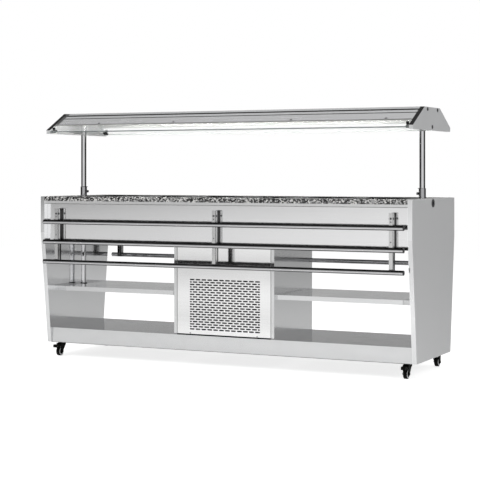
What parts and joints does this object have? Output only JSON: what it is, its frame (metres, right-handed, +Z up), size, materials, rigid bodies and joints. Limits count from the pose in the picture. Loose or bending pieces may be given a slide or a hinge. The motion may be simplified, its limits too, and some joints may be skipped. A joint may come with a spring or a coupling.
{
  "type": "refrigerated buffet table",
  "caption": "Free-standing stainless buffet counter with a cooled well in a stone top, lit glass canopy on posts, folding tray slides, open shelves, a slotted machine bay and castors",
  "frame": {"origin": "on the floor under the middle of the table", "axes": "+X along the counter, +Y from the guest side to the staff side, +Z up"},
  "size_m": [2.2025, 0.769, 1.3776],
  "materials": {
    "satin_steel": "satin",
    "polished_steel": "polished",
    "chrome": "polished",
    "granite": "polished",
    "copper": "satin",
    "foam": "matte",
    "black_paint": "satin",
    "white_paint": "satin",
    "fin_aluminium": "satin",
    "canopy_aluminium": "satin",
    "black_plastic": "matte",
    "black_rubber": "matte",
    "clear_glass": "polished",
    "lamp_glass": "gloss",
    "castor_metal": "satin",
    "castor_tyre": "matte"
  },
  "bodies": {
    "carcass": {"base_deck": "polished_steel", "base_frame": "satin_steel", "castor_plates": "castor_metal", "cold_well": "satin_steel", "compressor": "black_paint", "condenser": "fin_aluminium", "control_fittings": "black_plastic", "counter_frame": "satin_steel", "drain_pipe": "satin_steel", "end_panel_left": "satin_steel", "end_panel_right": "satin_steel", "evaporator_coil": "copper", "fan_unit": "black_paint", "front_skirt": "polished_steel", "grille_panel": "satin_steel", "machine_rear_panel": "satin_steel", "machine_walls": "polished_steel", "pan_bars": "satin_steel", "post_collars": "chrome", "rear_skirt": "polished_steel", "refrigerant_pipes": "copper", "shelf_brackets": "satin_steel", "shelf_left": "polished_steel", "shelf_right": "polished_steel", "stone_top": "granite", "tray_pivot_pins": "satin_steel", "tray_wall_legs": "satin_steel", "well_insulation": "foam", "well_underside": "satin_steel"},
    "fan": {"fan_blades": "fin_aluminium"},
    "lamp_switch": {"lamp_rocker": "black_plastic"},
    "power_switch": {"power_rocker": "black_plastic"},
    "thermostat": {"thermostat_knob": "black_plastic"},
    "clamp_left": {"thumbscrew_left": "chrome"},
    "clamp_right": {"thumbscrew_right": "chrome"},
    "canopy": {"posts": "chrome", "post_feet": "black_plastic", "canopy_roof": "canopy_aluminium", "canopy_end_left": "canopy_aluminium", "canopy_end_right": "canopy_aluminium", "canopy_seals": "black_rubber", "glass_front": "clear_glass", "glass_rear": "clear_glass", "glass_clamps": "black_plastic", "lamp_housing": "white_paint", "lamp_tube": "lamp_glass"},
    "front_tray": {"front_rails": "chrome", "front_arms": "satin_steel"},
    "rear_tray": {"rear_rails": "chrome", "rear_arms": "satin_steel"},
    "castor_front_left": {"castor_fork_front_left": "castor_metal"},
    "wheel_front_left": {"castor_wheel_front_left": "castor_tyre"},
    "brake_front_left": {"brake_pedal_front_left": "castor_metal"},
    "castor_front_right": {"castor_fork_front_right": "castor_metal"},
    "wheel_front_right": {"castor_wheel_front_right": "castor_tyre"},
    "brake_front_right": {"brake_pedal_front_right": "castor_metal"},
    "castor_rear_left": {"castor_fork_rear_left": "castor_metal"},
    "wheel_rear_left": {"castor_wheel_rear_left": "castor_tyre"},
    "castor_rear_right": {"castor_fork_rear_right": "castor_metal"},
    "wheel_rear_right": {"castor_wheel_rear_right": "castor_tyre"}
  },
  "joints": [
    {"name": "front_tray_fold", "type": "hinge", "parent": "carcass", "child": "front_tray", "pos_m": [0, -0.35, 0.809], "axis": [-1, 0, 0], "range_deg": [0, 90]},
    {"name": "rear_tray_fold", "type": "hinge", "parent": "carcass", "child": "rear_tray", "pos_m": [0, 0.35, 0.809], "axis": [1, 0, 0], "range_deg": [0, 90]},
    {"name": "canopy_lift", "type": "slide", "parent": "carcass", "child": "canopy", "axis": [0, 0, 1], "range_m": [0, 0.15]},
    {"name": "left_clamp_turn", "type": "hinge", "parent": "carcass", "child": "clamp_left", "pos_m": [-1.01, 0, 0.93], "axis": [1, 0, 0], "range_deg": [0, 360]},
    {"name": "right_clamp_turn", "type": "hinge", "parent": "carcass", "child": "clamp_right", "pos_m": [1.01, 0, 0.93], "axis": [-1, 0, 0], "range_deg": [0, 360]},
    {"name": "fan_spin", "type": "hinge", "parent": "carcass", "child": "fan", "pos_m": [0.09, -0.132, 0.3], "axis": [0, 1, 0], "continuous": true},
    {"name": "lamp_switch_rock", "type": "hinge", "parent": "carcass", "child": "lamp_switch", "pos_m": [1.0945, -0.022, 0.881], "axis": [0, 0, -1], "range_deg": [0, 18]},
    {"name": "power_switch_rock", "type": "hinge", "parent": "carcass", "child": "power_switch", "pos_m": [-0.09, 0.2625, 0.5], "axis": [1, 0, 0], "range_deg": [0, 18]},
    {"name": "thermostat_turn", "type": "hinge", "parent": "carcass", "child": "thermostat", "pos_m": [-0.17, 0.2708, 0.5], "axis": [0, -1, 0], "range_deg": [0, 270]},
    {"name": "front_left_swivel", "type": "hinge", "parent": "carcass", "child": "castor_front_left", "pos_m": [-1.035, -0.23, 0.066], "axis": [0, 0, 1], "continuous": true},
    {"name": "front_left_roll", "type": "hinge", "parent": "castor_front_left", "child": "wheel_front_left", "pos_m": [-1.035, -0.252, 0.025], "axis": [1, 0, 0], "continuous": true},
    {"name": "front_left_brake", "type": "hinge", "parent": "castor_front_left", "child": "brake_front_left", "pos_m": [-1.035, -0.258, 0.057], "axis": [1, 0, 0], "range_deg": [0, 11]},
    {"name": "front_right_swivel", "type": "hinge", "parent": "carcass", "child": "castor_front_right", "pos_m": [1.035, -0.23, 0.066], "axis": [0, 0, 1], "continuous": true},
    {"name": "front_right_roll", "type": "hinge", "parent": "castor_front_right", "child": "wheel_front_right", "pos_m": [1.035, -0.252, 0.025], "axis": [1, 0, 0], "continuous": true},
    {"name": "front_right_brake", "type": "hinge", "parent": "castor_front_right", "child": "brake_front_right", "pos_m": [1.035, -0.258, 0.057], "axis": [1, 0, 0], "range_deg": [0, 11]},
    {"name": "rear_left_swivel", "type": "hinge", "parent": "carcass", "child": "castor_rear_left", "pos_m": [-1.035, 0.23, 0.066], "axis": [0, 0, 1], "continuous": true},
    {"name": "rear_left_roll", "type": "hinge", "parent": "castor_rear_left", "child": "wheel_rear_left", "pos_m": [-1.035, 0.252, 0.025], "axis": [1, 0, 0], "continuous": true},
    {"name": "rear_right_swivel", "type": "hinge", "parent": "carcass", "child": "castor_rear_right", "pos_m": [1.035, 0.23, 0.066], "axis": [0, 0, 1], "continuous": true},
    {"name": "rear_right_roll", "type": "hinge", "parent": "castor_rear_right", "child": "wheel_rear_right", "pos_m": [1.035, 0.252, 0.025], "axis": [1, 0, 0], "continuous": true}
  ]
}
